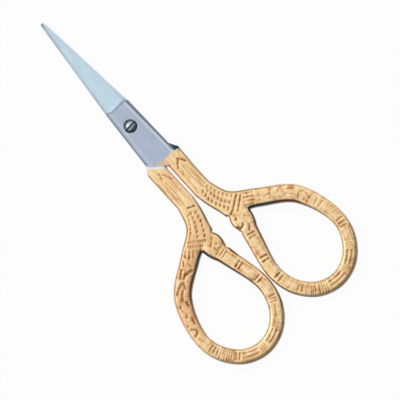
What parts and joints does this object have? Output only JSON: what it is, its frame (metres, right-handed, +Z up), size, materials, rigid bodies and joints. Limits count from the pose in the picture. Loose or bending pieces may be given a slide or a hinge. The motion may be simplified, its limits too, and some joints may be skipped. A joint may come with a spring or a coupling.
{
  "type": "embroidery scissors",
  "caption": "Small embroidery scissors with fine tapering steel blades, a slotted pivot screw and gilt handles with oval finger bows.",
  "frame": {"origin": "on the pivot axis, at the plane that the closed scissors lie on", "axes": "+Y along the closed blades towards the tips, +Z up out of the face with the screw head, +X towards the front half's handle"},
  "size_m": [0.0444, 0.0898, 0.0034],
  "materials": {
    "steel": "fine ground, pale blue-grey",
    "gilt": "gold plated over steel, chased ornament with darker recesses",
    "screw_steel": "polished, slotted head"
  },
  "bodies": {
    "back_half": {"back_blade": "steel", "back_handle": "gilt"},
    "front_half": {"front_blade": "steel", "front_handle": "gilt"},
    "screw": {"pivot_screw": "screw_steel"}
  },
  "joints": [
    {"name": "blade_pivot", "type": "hinge", "parent": "back_half", "child": "front_half", "pos_m": [0, 0, 0.00163], "axis": [0, 0, 1], "range_deg": [0, 135]},
    {"name": "tension_screw", "type": "hinge", "parent": "back_half", "child": "screw", "pos_m": [0, 0, 0.00163], "axis": [0, 0, 1], "range_deg": [0, 90]}
  ]
}
